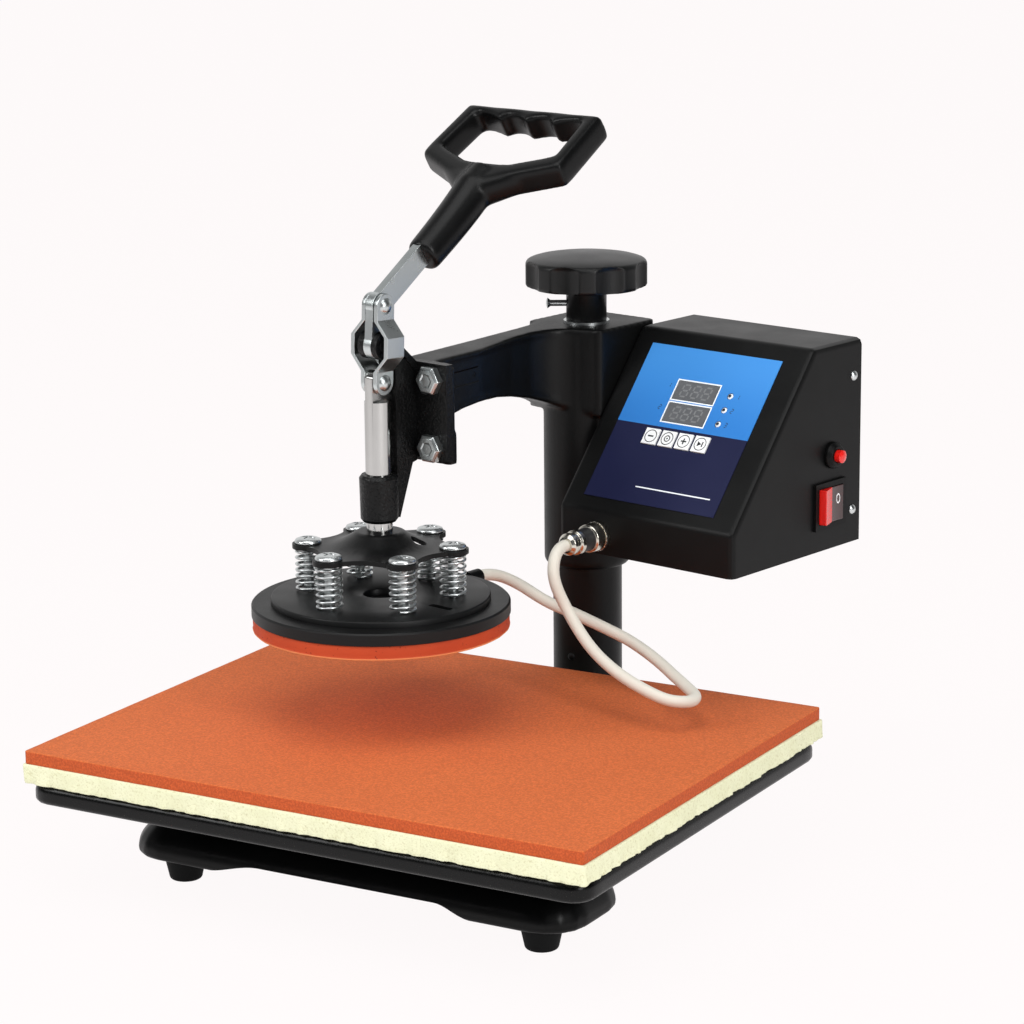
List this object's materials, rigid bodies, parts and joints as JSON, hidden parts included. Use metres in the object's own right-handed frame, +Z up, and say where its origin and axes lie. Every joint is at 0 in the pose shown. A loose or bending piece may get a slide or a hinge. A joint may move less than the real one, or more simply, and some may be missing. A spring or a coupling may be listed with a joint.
{
  "type": "heat press",
  "caption": "Swing-away heat press: a sprung round heater on a toggle lever arm over a padded flat board, with a sloped control box and a height knob on its post.",
  "frame": {"origin": "on the floor under the middle of the machine's outline, without the heater's cable", "axes": "+Z up; -Y towards the operator, square to the board's front edge; +X to the operator's right"},
  "size_m": [0.383, 0.4188, 0.4512],
  "materials": {
    "black_paint": "satin black enamel",
    "black_rubber": "moulded black rubber",
    "zinc": "zinc plated steel",
    "steel": "turned steel",
    "foam": "yellowish white silicone foam",
    "mat": "orange silicone rubber",
    "pad": "orange silicone rubber",
    "brass": "turned brass",
    "chrome": "polished chrome",
    "nickel": "nickel plated connector",
    "grip": "black moulded grip",
    "black_plastic": "black moulded plastic",
    "overlay": "printed blue film",
    "window": "smoked display window",
    "white_plastic": "white plastic",
    "board": "green circuit board",
    "relay": "cream plastic case",
    "red_plastic": "translucent red plastic",
    "cable": "white silicone sleeve",
    "aluminium_black": "black coated cast aluminium"
  },
  "bodies": {
    "base": {"base_frame": "black_paint", "rubber_feet": "black_rubber", "foot_screws": "zinc", "tray_risers": "black_paint", "riser_bolts": "zinc", "tray": "black_paint", "foam_pad": "foam", "silicone_mat": "mat", "post": "black_paint", "post_bolts": "zinc", "post_lock_screw": "zinc", "lift_nut": "brass"},
    "lift": {"thrust_washer": "chrome"},
    "arm": {"swing_arm": "black_paint", "toggle_bracket": "black_paint", "bracket_bolts": "zinc", "lever_pivot_pin": "steel", "box_cover": "black_paint", "box_base": "black_paint", "box_screws": "zinc", "box_bolts": "zinc", "front_overlay": "overlay", "display_windows": "window", "indicator_leds": "white_plastic", "control_board": "board", "power_relay": "relay", "cable_socket": "nickel", "breaker_body": "black_plastic", "switch_housing": "black_plastic", "mains_gland": "black_plastic", "cable_plug": "nickel", "heater_cable": "cable"},
    "knob": {"pressure_knob": "grip", "lift_spindle": "steel", "spindle_collar": "steel", "knob_screw": "zinc"},
    "lever": {"lever_bar": "zinc", "lever_grip": "grip"},
    "links": {"link_left": "zinc", "link_right": "zinc", "link_rivets": "zinc"},
    "plunger": {"plunger_shaft": "steel", "plunger_pin": "steel", "spider_plate": "black_paint", "spider_nut": "zinc", "heater_springs": "zinc"},
    "heater": {"heater_cover": "aluminium_black", "heating_element": "steel", "heater_disc": "aluminium_black", "heater_pad": "pad", "spring_screws": "zinc", "heater_gland": "black_plastic"},
    "minus_button": {"minus_key": "white_plastic"},
    "mode_button": {"mode_key": "white_plastic"},
    "plus_button": {"plus_key": "white_plastic"},
    "enter_button": {"enter_key": "white_plastic"},
    "rocker": {"power_rocker": "red_plastic"},
    "reset": {"reset_button": "red_plastic"}
  },
  "joints": [
    {"name": "arm_lift", "type": "slide", "parent": "base", "child": "lift", "axis": [0, 0, 1], "range_m": [-0.011, 0.015]},
    {"name": "arm_swing", "type": "hinge", "parent": "lift", "child": "arm", "pos_m": [0, 0.14562, 0.2], "axis": [0, 0, 1], "continuous": true},
    {"name": "knob_turn", "type": "hinge", "parent": "lift", "child": "knob", "pos_m": [0, 0.14562, 0.3], "axis": [0, 0, 1], "range_deg": [-1985, 2705]},
    {"name": "lever_pull", "type": "hinge", "parent": "arm", "child": "lever", "pos_m": [-0.03759, -0.04776, 0.32504], "axis": [0.9816, -0.1908, 0], "range_deg": [0, 185]},
    {"name": "plunger_press", "type": "slide", "parent": "arm", "child": "plunger", "axis": [0, 0, -1], "range_m": [0, 0.04796]},
    {"name": "link_swing", "type": "hinge", "parent": "lever", "child": "links", "pos_m": [-0.03719, -0.04571, 0.34895], "axis": [0.9816, -0.1908, 0], "range_deg": [-182.42, 0]},
    {"name": "heater_float", "type": "slide", "parent": "plunger", "child": "heater", "axis": [0, 0, 1], "range_m": [0, 0.006], "stiffness_N_per_m": 6000, "springref_m": -0.004, "deforming": ["heater_springs"]},
    {"name": "power_switch", "type": "hinge", "parent": "arm", "child": "rocker", "pos_m": [0.16952, 0.15036, 0.20824], "axis": [0, 0, 1], "range_deg": [-18, 0]},
    {"name": "reset_press", "type": "slide", "parent": "arm", "child": "reset", "axis": [-0.9816, 0.1908, 0], "range_m": [0, 0.003], "stiffness_N_per_m": 600, "springref_m": -0.001},
    {"name": "minus_press", "type": "slide", "parent": "arm", "child": "minus_button", "axis": [0.1483, 0.7629, -0.6293], "range_m": [0, 0.0006], "stiffness_N_per_m": 1500, "springref_m": -0.0004},
    {"name": "mode_press", "type": "slide", "parent": "arm", "child": "mode_button", "axis": [0.1483, 0.7629, -0.6293], "range_m": [0, 0.0006], "stiffness_N_per_m": 1500, "springref_m": -0.0004},
    {"name": "plus_press", "type": "slide", "parent": "arm", "child": "plus_button", "axis": [0.1483, 0.7629, -0.6293], "range_m": [0, 0.0006], "stiffness_N_per_m": 1500, "springref_m": -0.0004},
    {"name": "enter_press", "type": "slide", "parent": "arm", "child": "enter_button", "axis": [0.1483, 0.7629, -0.6293], "range_m": [0, 0.0006], "stiffness_N_per_m": 1500, "springref_m": -0.0004}
  ],
  "couplings": [
    {"joint": "knob_turn", "follows": "arm_lift", "rad_per_m": 3141.6},
    {"joint": "plunger_press", "follows": "lever_pull", "m_per_rad": 0.014852},
    {"joint": "link_swing", "follows": "lever_pull", "ratio": -0.98603}
  ]
}
